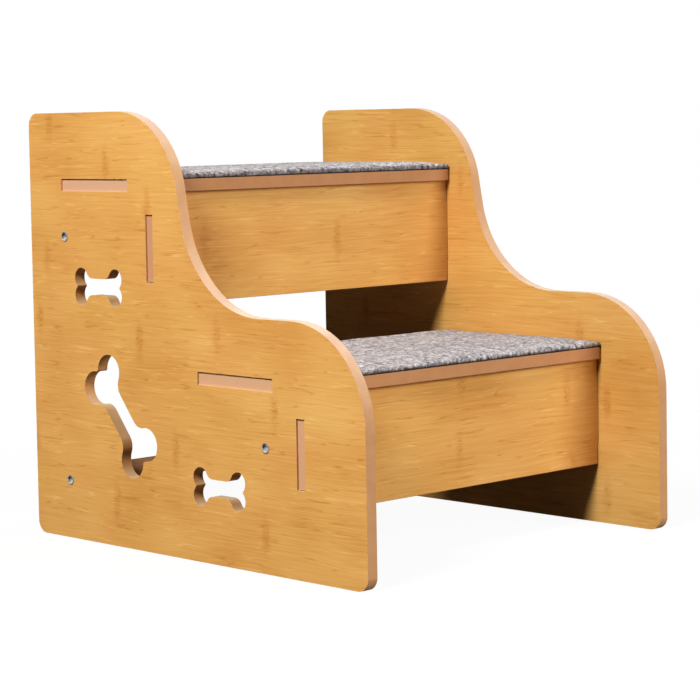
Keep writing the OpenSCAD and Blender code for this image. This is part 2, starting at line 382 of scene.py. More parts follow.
    def _knuckles(self, tree: Tree, flat: Socket, seed: float) -> tuple[Socket, Socket]:
        """Adds the scattered knuckle marks, one in each cell of a loose grid.

        Args:
            tree: Material's node tree.
            flat: Place along and across the grain, in millimetres.
            seed: Number that puts the knuckles elsewhere on each board.

        Returns:
            The marks' haze and the ticks in their middle, both from 0 to 1.
        """
        gap, size = self.knuckle_gap, self.knuckle_size
        cells = add_node(
            tree, "ShaderNodeVectorMath",
            {"operation": "MULTIPLY_ADD", 1: (1 / gap[0], 1 / gap[1], 0.0), 2: (seed, seed, 0.0)},
            {0: flat},
        ).outputs[0]
        nearest = add_node(
            tree, "ShaderNodeTexVoronoi",
            {"voronoi_dimensions": "2D", "Scale": 1.0, "Randomness": self.knuckle_scatter},
            {"Vector": cells},
        )
        offset = add_node(
            tree, "ShaderNodeVectorMath", {"operation": "SUBTRACT"},
            {0: cells, 1: nearest.outputs["Position"]},
        )
        shares = add_node(
            tree, "ShaderNodeVectorMath",
            {"operation": "MULTIPLY", 1: (gap[0] / size[0], gap[1] / size[1], 0.0)},
            {0: offset.outputs[0]},
        )
        away = add_node(
            tree, "ShaderNodeVectorMath", {"operation": "LENGTH"}, {0: shares.outputs[0]}
        )
        ragged = add_node(
            tree, "ShaderNodeMath", {"operation": "ADD"},
            {0: away.outputs["Value"], 1: self.knuckle_rim.pattern(tree, flat)},
        ).outputs[0]
        haze, middle, specks = (
            add_node(
                tree, "ShaderNodeMapRange", {"interpolation_type": kind, **fade(*limits)},
                {0: pattern},
            ).outputs[0]
            for kind, limits, pattern in (
                ("SMOOTHSTEP", self.haze_fade, ragged),
                ("LINEAR", self.tick_reach, ragged),
                ("LINEAR", self.tick_fade, self.tick.pattern(tree, flat)),
            )
        )
        ticks = add_node(
            tree, "ShaderNodeMath", {"operation": "MULTIPLY"}, {0: specks, 1: middle}
        )
        return haze, ticks.outputs[0]


@dataclass(frozen=True)
class FacedFibreboard:
    """Fibreboard with a bamboo-print melamine facing, pressed on its two broad faces.

    The facing is a satin print with little gloss. The board's sawn edges show the bare, matt,
    pinkish core, which is paler on the tenons' cut ends. Sizes are in millimetres.
    """

    name: str
    grain: Axis
    across: Axis
    faces: Axis
    seed: float
    core: str = "#bc8054"
    end: str = "#d8a580"
    end_from: float = 186.6
    mottled: Colour = (0.87, 0.83, 0.77, 1.0)
    mottle: Marks = Marks(16.0, 16.0, 16.0, weight=1.6, detail=2.0, crispness=0.5)
    fibres: Marks = Marks(1.3, 1.3, 1.3, weight=1.0, detail=3.0, crispness=0.5)
    tone: float = 1.0
    printed: BambooPrint = BambooPrint()
    satin: float = 0.55
    matt: float = 0.6
    gloss: float = 0.12
    relief: float = 0.15
    relief_strength: float = 0.12
    flat_from: float = 0.98

    def material(self) -> Material:
        """Builds the node material of the facing and the sawn edges.

        Returns:
            The finished material.
        """
        material, tree = new_material(self.name)
        in_mm = place_in_mm(tree)
        split = add_node(tree, "ShaderNodeSeparateXYZ", links={0: in_mm})
        flat = add_node(
            tree, "ShaderNodeCombineXYZ", {"Z": self.seed},
            {"X": split.outputs[self.grain.value], "Y": split.outputs[self.across.value]},
        ).outputs[0]
        facing, streaks = self.printed.colour(tree, flat, self.seed, self.tone)
        fibres = self.fibres.pattern(tree, in_mm)
        share = add_up(
            tree, -0.5 * self.mottle.weight,
            (self.mottle.pattern(tree, in_mm), self.mottle.weight), (fibres, self.fibres.weight),
        )
        speckle = add_node(
            tree, "ShaderNodeMix", {**BLEND, 6: self.mottled, 7: WHITE}, {0: share}
        ).outputs[2]
        shape = add_node(tree, "ShaderNodeNewGeometry")
        parts = add_node(tree, "ShaderNodeSeparateXYZ", links={0: shape.outputs["True Normal"]})
        # One on the sawn edges and zero on the two faced sides.
        sawn = add_node(
            tree, "ShaderNodeMath", {"operation": "COMPARE", 1: 0.0, 2: self.flat_from},
            {0: parts.outputs[self.faces.value]},
        ).outputs[0]
        colour = add_node(
            tree, "ShaderNodeMix", BLEND,
            {0: sawn, 6: facing, 7: self._core(tree, split, speckle)},
        )
        roughness = add_node(
            tree, "ShaderNodeMapRange", fade(0.0, 1.0, self.satin, self.matt), {0: sawn}
        )
        height = add_node(tree, "ShaderNodeMix", links={0: sawn, 2: streaks, 3: fibres})
        finish_surface(
            tree, {"Specular IOR Level": self.gloss},
            {"Base Color": colour.outputs[2], "Roughness": roughness.outputs[0]},
            (height.outputs[0], self.relief_strength, self.relief),
        )
        return material

    def _core(self, tree: Tree, split: Node, speckle: Socket) -> Socket:
        """Adds the colour of the bare core, paler on the tenons' cut ends.

        Args:
            tree: Material's node tree.
            split: Node that splits the place into its three numbers.
            speckle: Tint of the pressed fibres.

        Returns:
            The colour.
        """
        core = add_node(tree, "ShaderNodeMix", {**TINT, 6: srgb(self.core)}, {7: speckle})
        inside = add_node(
            tree, "ShaderNodeMath", {"operation": "COMPARE", 1: 0.0, 2: self.end_from},
            {0: split.outputs[Axis.WIDTH.value]},
        )
        return add_node(
            tree, "ShaderNodeMix", {**BLEND, 6: srgb(self.end)},
            {0: inside.outputs[0], 7: core.outputs[2]},
        ).outputs[2]


@dataclass(frozen=True)
class PanelFibreboard(FacedFibreboard):
    """Faced fibreboard of the side panels, with a sawn outline and bones cut by a router.

    The sawn core is orange where an edge stands upright. Its paler, pinker tones where the edge
    faces up are painted light and sheen, and its slightly darker steep parts are painted shade.
    Inside the bones the core is darker and browner: painted shade of the holes' walls.
    """

    # The core's colour by how far an edge faces up: its own orange where upright, painted shade on
    # the steep parts, and painted light and sheen where it faces up.
    painted_light_by_slope: Tones = (
        (0.0, "#d7a070"), (0.2, "#cd9c71"), (0.4, "#cb9f76"), (0.53, "#cfa785"),
        (0.7, "#d1ac8d"), (0.88, "#d5b39c"), (1.0, "#e6d1b6"),
    )
    # Tint of the core inside the bones: painted shade of the holes' walls.
    bone_wall_shade: Colour = (0.86, 0.78, 0.6, 1.0)
    # Depth and height of each bone's middle, and how far its outline may lie from there.
    bones: tuple[Place, ...] = (
        (124.2, 238.8, 40.0), (-40.5, 67.6, 40.0), (95.9, 121.2, 90.0),
    )

    def _core(self, tree: Tree, split: Node, speckle: Socket) -> Socket:
        """Adds the colour of the bare core, with painted light by its slope and painted shade in
        the bones.

        Args:
            tree: Material's node tree.
            split: Node that splits the place into its three numbers.
            speckle: Tint of the pressed fibres.

        Returns:
            The colour.
        """
        shape = add_node(tree, "ShaderNodeNewGeometry")
        parts = add_node(tree, "ShaderNodeSeparateXYZ", links={0: shape.outputs["Normal"]})
        # Painted light and sheen on up-facing edges, painted shade on steep ones.
        lit_by_slope = add_node(
            tree, "ShaderNodeValToRGB", links={0: parts.outputs[Axis.HEIGHT.value]}
        )
        set_stops(lit_by_slope, self.painted_light_by_slope)
        sawn = add_node(tree, "ShaderNodeMix", TINT, {6: lit_by_slope.outputs[0], 7: speckle})
        # Painted shade inside the bones.
        return add_node(
            tree, "ShaderNodeMix", {**TINT, 7: self.bone_wall_shade},
            {0: self._in_bones(tree, split), 6: sawn.outputs[2]},
        ).outputs[2]

    def _in_bones(self, tree: Tree, split: Node) -> Socket:
        """Adds a mask that tells the bone cut-outs from a panel's outline.

        Args:
            tree: Material's node tree.
            split: Node that splits the place into its three numbers.

        Returns:
            One round the bones and zero elsewhere.
        """
        place = add_node(
            tree, "ShaderNodeCombineXYZ",
            links={axis: split.outputs[axis] for axis in (Axis.DEPTH.value, Axis.HEIGHT.value)},
        ).outputs[0]
        masks = []
        for depth, height, reach in self.bones:
            away = add_node(
                tree, "ShaderNodeVectorMath", {"operation": "DISTANCE", 1: (0.0, depth, height)},
                {0: place},
            )
            near = add_node(
                tree, "ShaderNodeMath", {"operation": "LESS_THAN", 1: reach},
                {0: away.outputs["Value"]},
            )
            masks.append((near.outputs[0], 1.0))
        return add_up(tree, 0.0, *masks)


@dataclass(frozen=True)
class GrainedFinish:
    """A matt finish whose two tones and fine relief, in millimetres, follow one grain."""

    name: str
    low: str
    high: str
    grain: Marks
    relief: float
    relief_strength: float
    roughness: float
    gloss: float

    def material(self) -> Material:
        """Builds the node material of the finish.

        Returns:
            The finished material.
        """
        material, tree = new_material(self.name)
        grain = self.grain.pattern(tree, place_in_mm(tree))
        colour = add_node(
            tree, "ShaderNodeMix", {**BLEND, 6: srgb(self.low), 7: srgb(self.high)}, {0: grain}
        )
        finish_surface(
            tree, {"Roughness": self.roughness, "Specular IOR Level": self.gloss},
            {"Base Color": colour.outputs[2]}, (grain, self.relief_strength, self.relief),
        )
        return material


@dataclass(frozen=True)
class TurnedPine(GrainedFinish):
    """Pine dowel, turned and lightly sanded: warm brown, matt, with growth lines along it."""

    name: str = "turned_pine"
    low: str = "#b57d52"
    high: str = "#d39a70"
    grain: Marks = Marks(70.0, 3.5, 3.5, detail=4.0)
    relief: float = 0.2
    relief_strength: float = 0.2
    roughness: float = 0.65
    gloss: float = 0.3


# A near-black sheet: real rubber backing, and also painted shade along the thin dark line under the
# felt's edge.
@dataclass(frozen=True)
class RubberBackingAndShade(GrainedFinish):
    """Rubber backing, calendered into a sheet: nearly black and matt, with a faint grain."""

    name: str = "rubber_backing_and_shade"
    low: str = "#2a2624"
    high: str = "#3b3634"
    grain: Marks = Marks(0.8, 0.8, 0.8, detail=2.0, crispness=0.5)
    relief: float = 0.1
    relief_strength: float = 0.3
    roughness: float = 0.9
    gloss: float = 0.2


@dataclass(frozen=True)
class PlatedSteel:
    """Cold-headed steel with a thin zinc coat.

    Its bright tone on the heads' crowns and in cloudy patches, dull down their sides, is a
    painted reflection. In the sockets and on the heads' upright sides it is a less metallic
    grey, a painted reflection that keeps them grey and not mirror black. Sizes are in
    millimetres.
    """

    name: str = "zinc_plated_steel"
    # Tones of the steel, mixed by how far a face looks straight out and by clouds: painted
    # reflection.
    bright: str = "#e6e3de"
    dull: str = "#a8a29a"
    # Less metallic grey of the sockets and the heads' upright sides: painted reflection.
    socket_grey: str = "#9a9794"
    crown: Pair = (0.6, 1.0)
    clouds: Marks = Marks(2.2, 2.2, 2.2, detail=4.0, crispness=0.5)
    cloud_fade: Pair = (0.35, 0.6)
    cloud_least: float = 0.3
    rough: float = 0.4
    burnished: float = 0.22
    socket_floor: float = 198.5
    wall_below: float = 0.2
    socket_metallic: float = 0.25

    def material(self) -> Material:
        """Builds the node material of the bolts or the inserts.

        Returns:
            The finished material.
        """
        material, tree = new_material(self.name)
        in_mm = place_in_mm(tree)
        shape = add_node(tree, "ShaderNodeNewGeometry")
        sideways, outward = (
            add_node(tree, "ShaderNodeSeparateXYZ", links={0: vector}).outputs[Axis.WIDTH.value]
            for vector in (in_mm, shape.outputs["Normal"])
        )
        facing_out = add_node(tree, "ShaderNodeMath", {"operation": "ABSOLUTE"}, {0: outward})
        clouds = self.clouds.pattern(tree, in_mm)
        # Painted reflection: bright where a head faces straight out and in cloudy patches.
        slope = add_node(
            tree, "ShaderNodeMapRange", fade(*self.crown), {0: facing_out.outputs[0]}
        )
        patchy = add_node(
            tree, "ShaderNodeMapRange", fade(*self.cloud_fade, self.cloud_least), {0: clouds}
        )
        share = add_node(
            tree, "ShaderNodeMath", {"operation": "MULTIPLY"},
            {0: slope.outputs[0], 1: patchy.outputs[0]},
        )
        plating_and_reflection = add_node(
            tree, "ShaderNodeMix", {**BLEND, 6: srgb(self.dull), 7: srgb(self.bright)},
            {0: share.outputs[0]},
        )
        deep, wall = (
            add_node(tree, "ShaderNodeMath", {"operation": "COMPARE", 1: 0.0, 2: limit}, {0: value})
            for value, limit in ((sideways, self.socket_floor), (outward, self.wall_below))
        )
        in_socket = add_up(tree, 0.0, (deep.outputs[0], 1.0), (wall.outputs[0], 1.0))
        # Painted reflection: a less metallic grey in the sockets and on the heads' upright sides.
        colour = add_node(
            tree, "ShaderNodeMix", {**BLEND, 7: srgb(self.socket_grey)},
            {0: in_socket, 6: plating_and_reflection.outputs[2]},
        )
        roughness, metallic = (
            add_node(tree, "ShaderNodeMapRange", fade(0.0, 1.0, low, high), {0: pattern})
            for low, high, pattern in (
                (self.rough, self.burnished, clouds), (1.0, self.socket_metallic, in_socket),
            )
        )
        finish_surface(tree, {}, {
            "Base Color": colour.outputs[2],
            "Metallic": metallic.outputs[0],
            "Roughness": roughness.outputs[0],
        })
        return material


@dataclass(frozen=True)
class NeedledFelt:
    """Needle-punched felt of mixed grey fibres.

    It is soft and matt, speckled with pale and dark flecks a few millimetres wide, and
    darker down its sides, which is painted shade. A fibre is too fine to
    show, so the smallest marks stand for strands of several.
    """

    name: str = "needled_grey_felt"
    tones: Tones = ((0.25, "#585459"), (0.5, "#a59e9e"), (0.78, "#ece5e4"))
    # Tint of the painted shade down the pad's sides.
    side_shade: Colour = (0.42, 0.4, 0.4, 1.0)
    # Shares of the pad's height where its painted shade begins and where it is darkest.
    side_shade_fade: Pair = (0.5, 0.3)
    waver: float = 0.5
    flecks: Marks = Marks(4.0, 4.0, 4.0, weight=1.0, detail=2.0, distortion=0.6)
    strands: Marks = Marks(1.4, 1.4, 1.4, weight=0.5, detail=2.0, distortion=0.6)
    clumps: Marks = Marks(9.0, 9.0, 9.0, weight=0.45, detail=2.0, distortion=0.6)
    stray_weight: float = 0.1
    relief: float = 0.6
    relief_strength: float = 0.6
    roughness: float = 0.95
    gloss: float = 0.1
    sheen: float = 0.15
    sheen_roughness: float = 0.5

    def material(self) -> Material:
        """Builds the node material of the felt and its loose fibres.

        Returns:
            The finished material.
        """
        material, tree = new_material(self.name)
        in_mm = place_in_mm(tree)
        shape = add_node(tree, "ShaderNodeNewGeometry")
        parts = [
            (marks.pattern(tree, in_mm), marks.weight)
            for marks in (self.flecks, self.strands, self.clumps)
        ]
        parts.append((shape.outputs["Random Per Island"], self.stray_weight))
        tone = add_up(tree, 0.5 - 0.5 * sum(weight for _, weight in parts), *parts)
        ramp = add_node(tree, "ShaderNodeValToRGB", links={0: tone})
        set_stops(ramp, self.tones)
        place = add_node(tree, "ShaderNodeTexCoord")
        level = add_node(tree, "ShaderNodeSeparateXYZ", links={0: place.outputs["Generated"]})
        wavering = add_up(tree, 0.0, (level.outputs[2], 1.0), (parts[0][0], self.waver))
        # Painted shade, darker towards the bottom of the pad.
        low_down = add_node(
            tree, "ShaderNodeMapRange", fade(*self.side_shade_fade), {0: wavering}
        )
        colour = add_node(
            tree, "ShaderNodeMix", {**TINT, 7: self.side_shade},
            {0: low_down.outputs[0], 6: ramp.outputs[0]},
        )
        finish_surface(
            tree,
            {"Roughness": self.roughness, "Specular IOR Level": self.gloss,
             "Sheen Weight": self.sheen, "Sheen Roughness": self.sheen_roughness},
            {"Base Color": colour.outputs[2]}, (parts[1][0], self.relief_strength, self.relief),
        )
        return material


@dataclass
class SmoothEdges:
    """Eases a piece's sharp edges and shades its curves smooth, with modifiers alone."""

    ease: float = 0.4 * MM
    steps: int = 2
    sharp_from: float = math.radians(32)
    weld: float = 0.001 * MM
    flat_weight: int = 100

    def group(self) -> Tree:
        """Makes the node group that shades smooth all but the sharp edges.

        Returns:
            The node group, for every piece's modifier.
        """
        tree = bpy.data.node_groups.new("smooth_curves", "GeometryNodeTree")
        for way in ("INPUT", "OUTPUT"):
            tree.interface.new_socket("Geometry", in_out=way, socket_type="NodeSocketGeometry")
        start = add_node(tree, "NodeGroupInput")
        plain = add_node(
            tree, "GeometryNodeRemoveAttribute", {"Name": "custom_normal"},
            {"Geometry": start.outputs[0]},
        )
        angle = add_node(tree, "GeometryNodeInputMeshEdgeAngle")
        smooth = add_node(
            tree, "FunctionNodeCompare",
            {"data_type": "FLOAT", "operation": "LESS_EQUAL", 1: self.sharp_from},
            {0: angle.outputs[0]},
        )
        faces = add_node(
            tree, "GeometryNodeSetShadeSmooth", {"domain": "FACE", "Shade Smooth": True},
            {"Geometry": plain.outputs[0]},
        )
        edges = add_node(
            tree, "GeometryNodeSetShadeSmooth", {"domain": "EDGE"},
            {"Geometry": faces.outputs[0], "Shade Smooth": smooth.outputs[0]},
        )
        add_node(tree, "NodeGroupOutput", links={0: edges.outputs[0]})
        return tree

    def dress(self, name: str, material: Material, group: Tree) -> None:
        """Gives a piece of the frame its finish and the modifiers.

        Args:
            name: Name of the piece's node.
            material: Its finish.
            group: Node group made by group().
        """
        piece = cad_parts[name]
        piece.data.materials.clear()
        piece.data.materials.append(material)
        for title, kind, settings in (
            ("joined_faces", "WELD", {"merge_threshold": self.weld}),
            ("eased_edges", "BEVEL", {
                "width": self.ease, "segments": self.steps, "limit_method": "ANGLE",
                "angle_limit": self.sharp_from, "use_clamp_overlap": True,
            }),
            ("smooth_curves", "NODES", {"node_group": group}),
            ("flat_faces_stay_flat", "WEIGHTED_NORMAL", {
                "keep_sharp": True, "weight": self.flat_weight,
            }),
        ):
            modifier = piece.modifiers.new(title, kind)
            for setting, value in settings.items():
                setattr(modifier, setting, value)
        log.info("dressed %s with %s", name, material.name)


@dataclass
class Carcass:
    """The side panels, treads and risers, all cut from faced fibreboard."""

    ease: float = 0.4 * MM
    seed_step: float = 7.3
    # The left panel's lighter print is painted light; the right panel's darker, less red print is
    # painted shade.
    panels: Looks = field(default_factory=lambda: {
        "side_panel_left": {"tone": 1.06},
        "side_panel_right": {
            "tone": 0.95,
            "printed": BambooPrint(
                yellow=(0.98, 1.04, 1.0, 1.0), orange=(0.955, 0.955, 0.94, 1.0)
            ),
        },
    })
    treads: Looks = field(default_factory=lambda: {
        "upper_tread": {"core": "#b98358", "end": "#ddac87"},
        "lower_tread": {"core": "#ca8f61", "end": "#dfac82"},
    })
    # The upper riser's darker print is painted shade and the lower riser's lighter print painted
    # light.
    risers: Looks = field(default_factory=lambda: {
        "upper_riser": {"end": "#d3986f", "tone": 0.9},
        "lower_riser": {"end": "#dda77d", "tone": 1.08},
    })

    def dress(self, group: Tree) -> None:
        """Gives every board its finish, by the way its grain and broad faces lie.

        Args:
            group: Node group that shades curves smooth.
        """
        boards = [
            (name, finish, axes, looks)
            for kind, finish, axes in (
                (self.panels, PanelFibreboard, (Axis.DEPTH, Axis.HEIGHT, Axis.WIDTH)),
                (self.treads, FacedFibreboard, (Axis.WIDTH, Axis.DEPTH, Axis.HEIGHT)),
                (self.risers, FacedFibreboard, (Axis.WIDTH, Axis.HEIGHT, Axis.DEPTH)),
            )
            for name, looks in kind.items()
        ]
        for number, (name, finish, axes, looks) in enumerate(boards):
            board = finish(f"faced_fibreboard_{name}", *axes, number * self.seed_step, **looks)
            SmoothEdges(self.ease).dress(name, board.material(), group)


@dataclass
class Fastenings:
    """The three cross rails with their bolts and threaded inserts."""

    rails: tuple[str, ...] = ("upper_rear_rail", "lower_rear_rail", "front_rail")
    metal: tuple[str, ...] = ("left_bolts", "right_bolts", "left_inserts", "right_inserts")
    rail_ease: float = 0.3 * MM
    bolt_ease: float = 0.12 * MM

    def dress(self, group: Tree) -> None:
        """Gives the rails and the metal pieces their finishes.

        Args:
            group: Node group that shades curves smooth.
        """
        for names, finish, ease in (
            (self.rails, TurnedPine(), self.rail_ease),
            (self.metal, PlatedSteel(), self.bolt_ease),
        ):
            material = finish.material()
            for name in names:
                SmoothEdges(ease).dress(name, material, group)


@dataclass
class FeltPad:
    """A crowned felt pad with rounded, slightly ragged edges and loose fibres.

    It lies on its rubber backing, flush with the tread's front edge. Its top rises from there
    over the crown's run, falls a little towards the rear and the sides, and is rough with
    waves, clumps and fuzz.
    """

    node: str
    backing: str
    seed: int
    spacing: float = 1.4 * MM
    edge_height: float = 4.2 * MM
    crown: float = 4.2 * MM
    roll: float = 1.8 * MM
    roll_steps: int = 4
    crown_run: float = 34 * MM
    rear_crown_share: float = 0.85
    side_power: int = 12
    right_lift: float = 0.1
    clearance: float = 0.05 * MM
    wave: float = 0.5 * MM
    wave_length: float = 75 * MM
    clump: float = 0.45 * MM
    clump_length: float = 6.5 * MM
    fuzz: float = 0.3 * MM
    fuzz_length: float = 2.1 * MM
    seed_step: float = 3.7
    ragged: float = 0.45 * MM
    bulge_share: float = 0.55
    fibres: int = 5200
    fibre_length: float = 2.6 * MM
    fibre_width: float = 0.16 * MM
    fibre_sides: int = 3
    fibre_lengths: Pair = (0.5, 1.2)
    fibre_lifts: Pair = (0.05, 0.5)
    fibre_bend: float = 0.25
    tip_bend: float = 0.3
    # Places along a fibre and its width there, as shares.
    fibre_rings: tuple[Pair, ...] = ((0.0, 1.0), (0.55, 0.8))
    edge_fibre_every: int = 4
    edge_band: float = 3 * MM
    side_fibre_every: int = 8
    side_fibre_lowest: float = 0.3
    backing_ease: float = 0.15 * MM
    low: Vector = field(init=False)
    high: Vector = field(init=False)
    width: float = field(init=False)
    depth: float = field(init=False)
    floor: float = field(init=False)

    def __post_init__(self) -> None:
        """Reads the place and size of the pad from its solid."""
        self.low, self.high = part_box(self.node)
        self.width, self.depth = self.high.x - self.low.x, self.high.y - self.low.y
        self.floor = self.low.z + self.clearance

    def build(self, material: Material) -> bpy.types.Object:
        """Builds the pad with its fibres and puts it in the solid's place.

        Args:
            material: Felt finish.

        Returns:
            The finished piece.
        """
        mesh = bmesh.new()
        self._body(mesh)
        self._loose_fibres(mesh)
        data = bpy.data.meshes.new(f"{self.node}_felt")
        mesh.to_mesh(data)
        mesh.free()
        data.polygons.foreach_set("use_smooth", [True] * len(data.polygons))
        data.materials.append(material)
        piece = bpy.data.objects.new(f"{self.node}_felt", data)
        bpy.context.scene.collection.objects.link(piece)
        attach(piece, BODY)
        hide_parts(self.node)
        log.info("built %s with %d faces", piece.name, len(data.polygons))
        return piece

    def _stops(self, span: float) -> list[float]:
        """Spreads places over a span, close together round the edges.

        Args:
            span: Length to cover, in metres.

        Returns:
            Distances from the start of the span.
        """
        edge = [
            self.roll * (1 - math.cos(math.pi / 2 * i / self.roll_steps))
            for i in range(self.roll_steps)
        ]
        count = round((span - 2 * self.roll) / self.spacing)
        inner = [self.roll + (span - 2 * self.roll) * i / count for i in range(count + 1)]
        return edge + inner + [span - place for place in reversed(edge)]

    def _top_height(self, x: float, y: float) -> float:
        """Works out the height of the smooth crowned top over the backing.

        Args:
            x: Distance from the pad's left side.
            y: Distance from the pad's front edge.

        Returns:
            The height, without the felt's roughness.
        """
        inset = max(0.0, self.roll - min(x, y, self.width - x, self.depth - y))
        rounding = self.roll - math.sqrt(self.roll**2 - inset**2)
        rise = math.sin(math.pi / 2 * min(1.0, y / self.crown_run))
        across = 2 * x / self.width - 1
        side = (1 - abs(across) ** self.side_power) * (1 + self.right_lift * across)
        rear = 1 - (1 - self.rear_crown_share) * (y / self.depth) ** 2
        return self.edge_height + self.crown * side * rise * rear - rounding

    def _roughness(self, place: Vector) -> float:
        """Adds up the felt's waves, clumps and fuzz at a place.

        Args:
            place: Place on the pad, in metres.

        Returns:
            How far the top lies over or under its smooth height.
        """
        shift = Vector((0, 0, self.seed * self.seed_step))
        return sum(
            height * noise.noise(place / length + shift)
            for height, length in (
                (self.wave, self.wave_length),
                (self.clump, self.clump_length),
                (self.fuzz, self.fuzz_length),
            )
        )

    def _body(self, mesh: Mesh) -> None:
        """Builds the closed body: a rough crowned top, ragged sides and a flat underside.

        Args:
            mesh: Mesh that gets the body.
        """
        xs, ys = self._stops(self.width), self._stops(self.depth)
        top = []
        for x in xs:
            column = []
            for y in ys:
                place = Vector((self.low.x + x, self.low.y + y, 0))
                height = max(self._top_height(x, y) + self._roughness(place), self.fuzz)
                column.append(mesh.verts.new((place.x, place.y, self.floor + height)))
            top.append(column)
        last_x, last_y = len(xs) - 1, len(ys) - 1
        ring = [(i, 0) for i in range(last_x)] + [(last_x, j) for j in range(last_y)]
        ring += [(i, last_y) for i in range(last_x, 0, -1)]
        ring += [(0, j) for j in range(last_y, 0, -1)]
        rims = [[top[i][j] for i, j in ring]]
        for share in (self.bulge_share, 0.0):
            rims.append([self._rim_point(mesh, vert.co, share) for vert in rims[0]])
        for upper, lower in zip(rims, rims[1:]):
            for k in range(len(ring)):
                after = (k + 1) % len(ring)
                mesh.faces.new((upper[k], lower[k], lower[after], upper[after]))
        for i in range(last_x):
            for j in range(last_y):
                mesh.faces.new((top[i][j], top[i + 1][j], top[i + 1][j + 1], top[i][j + 1]))
        mesh.faces.new(list(reversed(rims[-1])))
        bmesh.ops.recalc_face_normals(mesh, faces=mesh.faces)

    def _rim_point(self, mesh: Mesh, above: Vector, share: float) -> bmesh.types.BMVert:
        """Adds a point of the side, pushed in or out so that the side is ragged.

        Args:
            mesh: Mesh that gets the point.
            above: Point of the top's edge.
            share: Height of the new point as a share of the edge's height.

        Returns:
            The new point.
        """
        height = self.floor + (above.z - self.floor) * share
        push = noise.noise(Vector((above.x, above.y, height)) / self.fuzz_length) * self.ragged
        middle = (self.low + self.high) / 2
        reach, outward = self.high - middle, above - middle
        at_side = abs(abs(outward.x) - reach.x) < abs(abs(outward.y) - reach.y)
        x = above.x + (push * math.copysign(1, outward.x) if at_side else 0)
        y = above.y + (0 if at_side else push * math.copysign(1, outward.y))
        return mesh.verts.new((x, y, height))

    def _loose_fibres(self, mesh: Mesh) -> None:
        """Adds short loose fibres that lie over the top and stand out at the edges.

        Args:
            mesh: Mesh that gets the fibres.
        """
        draw = random.Random(self.seed)
        for number in range(self.fibres):
            x, y = draw.random() * self.width, draw.random() * self.depth
            if number % self.edge_fibre_every == 0:
                y = draw.random() ** 2 * self.edge_band
            height = self._top_height(x, y)
            if number % self.side_fibre_every == 0:
                height *= draw.uniform(self.side_fibre_lowest, 1.0)
            turn = draw.uniform(0, 2 * math.pi)
            lift = draw.uniform(*self.fibre_lifts)
            heading = Vector((math.cos(turn), math.sin(turn), lift)).normalized()
            start = Vector((self.low.x + x, self.low.y + y, self.floor + height))
            length = self.fibre_length * draw.uniform(*self.fibre_lengths)
            self._fibre(mesh, start, heading, length)

    def _fibre(self, mesh: Mesh, start: Vector, heading: Vector, length: float) -> None:
        """Adds one closed, tapering, bent strand of several fibres.

        Args:
            mesh: Mesh that gets the fibre.
            start: Place of its root.
            heading: Direction it sets out in.
            length: Its length.
        """
        down = Vector((0, 0, -length))
        side = down.cross(heading).normalized()
        up = side.cross(heading)
        turns = [2 * math.pi * k / self.fibre_sides for k in range(self.fibre_sides)]
        rings = []
        for share, size in self.fibre_rings:
            middle = start + heading * length * share + down * self.fibre_bend * share**2
            radius = self.fibre_width * size / 2
            rings.append([
                mesh.verts.new(middle + (side * math.cos(a) + up * math.sin(a)) * radius)
                for a in turns
            ])
        tip = mesh.verts.new(start + heading * length + down * self.tip_bend)
        for k in range(self.fibre_sides):
            after = (k + 1) % self.fibre_sides
            mesh.faces.new((rings[0][k], rings[0][after], rings[1][after], rings[1][k]))
            mesh.faces.new((rings[1][k], rings[1][after], tip))
        mesh.faces.new(list(reversed(rings[0])))

    def dress_backing(self, material: Material, group: Tree) -> None:
        """Gives the rubber backing its finish."""
        SmoothEdges(self.backing_ease, 1).dress(self.backing, material, group)


@dataclass(frozen=True)
class Softbox:
    """A round softbox, near enough for its light to fade across the stairs.

    Its strength is how strongly it lights a surface that faces it, in the stairs' middle.
    It stands in a direction from there, and its spread is how wide it looks from there.
    """

    name: str
    strength: float
    direction: Place
    spread: float
    distance: float = 3.0
    middle: Place = (0.0, 0.0, 0.2)

    def build(self) -> None:
        """Adds the lamp to the scene."""
        data = bpy.data.lights.new(self.name, "AREA")
        data.shape = "DISK"
        data.size = 2 * self.distance * math.tan(math.radians(self.spread) / 2)
        data.energy = self.strength * math.pi * self.distance**2
        lamp = bpy.data.objects.new(self.name, data)
        away = Vector(self.direction).normalized()
        lamp.location = away * self.distance + Vector(self.middle)
        lamp.rotation_euler = away.to_track_quat("Z", "Y").to_euler()
        bpy.context.scene.collection.objects.link(lamp)


